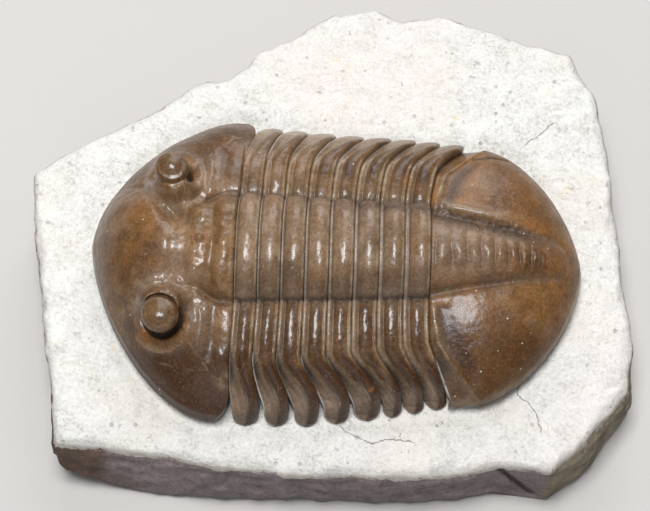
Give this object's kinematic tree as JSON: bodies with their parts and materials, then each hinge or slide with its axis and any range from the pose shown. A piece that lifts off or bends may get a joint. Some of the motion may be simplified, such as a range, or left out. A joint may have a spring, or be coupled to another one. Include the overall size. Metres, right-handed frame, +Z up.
{
  "type": "trilobite fossil on a limestone slab",
  "caption": "Brown calcite trilobite with stalked eyes, lying whole on a rough slab of pale limestone that rests flat on its underside.",
  "frame": {"origin": "centre of the slab's flat underside", "axes": "+X along the body from head to tail, +Y to the trilobite's left, +Z up out of the slab"},
  "size_m": [0.0882, 0.0744, 0.0273],
  "materials": {
    "limestone": "pale grey-white limestone with a rough tooled top and darker grey-brown broken sides",
    "head_calcite": "polished dark brown fossil calcite with rusty specks",
    "thorax_calcite": "polished grey-brown fossil calcite with pale edges to the plates",
    "tail_calcite": "polished warm brown fossil calcite with small white specks"
  },
  "bodies": {
    "root": {"limestone_matrix": "limestone", "cephalon": "head_calcite", "thoracic_segment_1": "thorax_calcite", "thoracic_segment_2": "thorax_calcite", "thoracic_segment_3": "thorax_calcite", "thoracic_segment_4": "thorax_calcite", "thoracic_segment_5": "thorax_calcite", "thoracic_segment_6": "thorax_calcite", "thoracic_segment_7": "thorax_calcite", "thoracic_segment_8": "thorax_calcite", "pygidium": "tail_calcite"}
  },
  "joints": []
}
